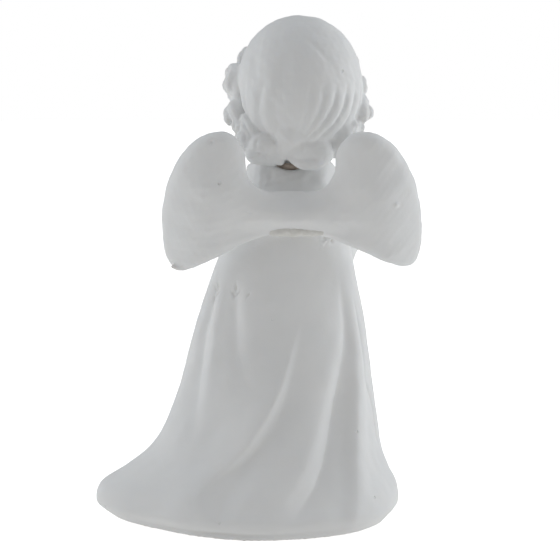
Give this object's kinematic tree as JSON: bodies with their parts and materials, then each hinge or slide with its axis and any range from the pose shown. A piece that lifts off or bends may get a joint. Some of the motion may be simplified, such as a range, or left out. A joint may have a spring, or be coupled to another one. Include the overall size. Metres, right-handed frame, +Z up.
{
  "type": "resin angel figurine",
  "caption": "Free-standing matte white figurine of a praying child angel with curly hair, a pair of puffy wings and a long robe whose train sweeps to one side.",
  "frame": {"origin": "on the felt's underside, the surface that the figurine stands on, straight below the middle of the torso", "axes": "+Z up; the angel faces -Y; its left hand and the robe's train are towards +X"},
  "size_m": [0.1259, 0.081, 0.2],
  "materials": {
    "resin": "unpainted matte off-white cast resin with pinholes",
    "glue": "cured adhesive, slightly yellowed",
    "steel": "plain dowel",
    "felt": "thin white felt"
  },
  "bodies": {
    "root": {"robe_casting": "resin", "head_casting": "resin", "wing_casting": "resin", "left_arm_casting": "resin", "right_arm_casting": "resin", "praying_hands_casting": "resin", "neck_dowel": "steel", "wing_dowels": "steel", "arm_dowels": "steel", "neck_glue_ring": "glue", "wing_glue_bead": "glue", "felt_base_pad": "felt"}
  },
  "joints": []
}
